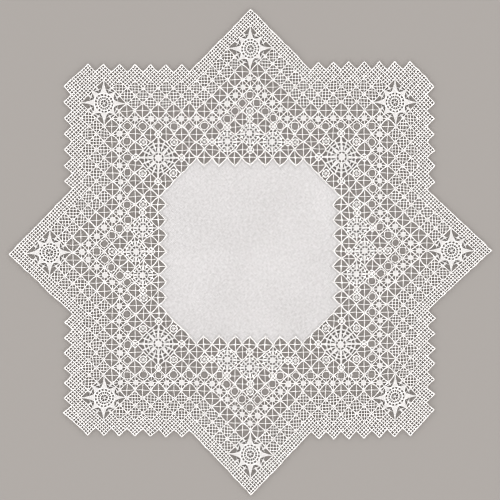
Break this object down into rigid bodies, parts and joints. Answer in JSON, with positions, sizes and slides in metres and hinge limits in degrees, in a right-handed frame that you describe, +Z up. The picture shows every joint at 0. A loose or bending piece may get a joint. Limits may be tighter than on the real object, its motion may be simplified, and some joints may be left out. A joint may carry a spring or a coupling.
{
  "type": "openwork doily",
  "caption": "Flat star-shaped openwork doily: plain linen centre in a wide needle lace border with toothed arms, discs, rings, wheels and star rosettes.",
  "frame": {"origin": "on the supporting surface, under the middle of the linen centre", "axes": "+Z up out of the cloth; +X and +Y each point along one of the straight-edged points of the star, with +Y up the picture"},
  "size_m": [0.3524, 0.3524, 0.0019],
  "materials": {
    "lace_thread": "matte bleached linen thread, buttonholed bars and knots",
    "linen_cloth": "matte plain woven linen with a narrow whipped hem"
  },
  "bodies": {
    "root": {"lace_border": "lace_thread", "linen_centre": "linen_cloth"}
  },
  "joints": []
}
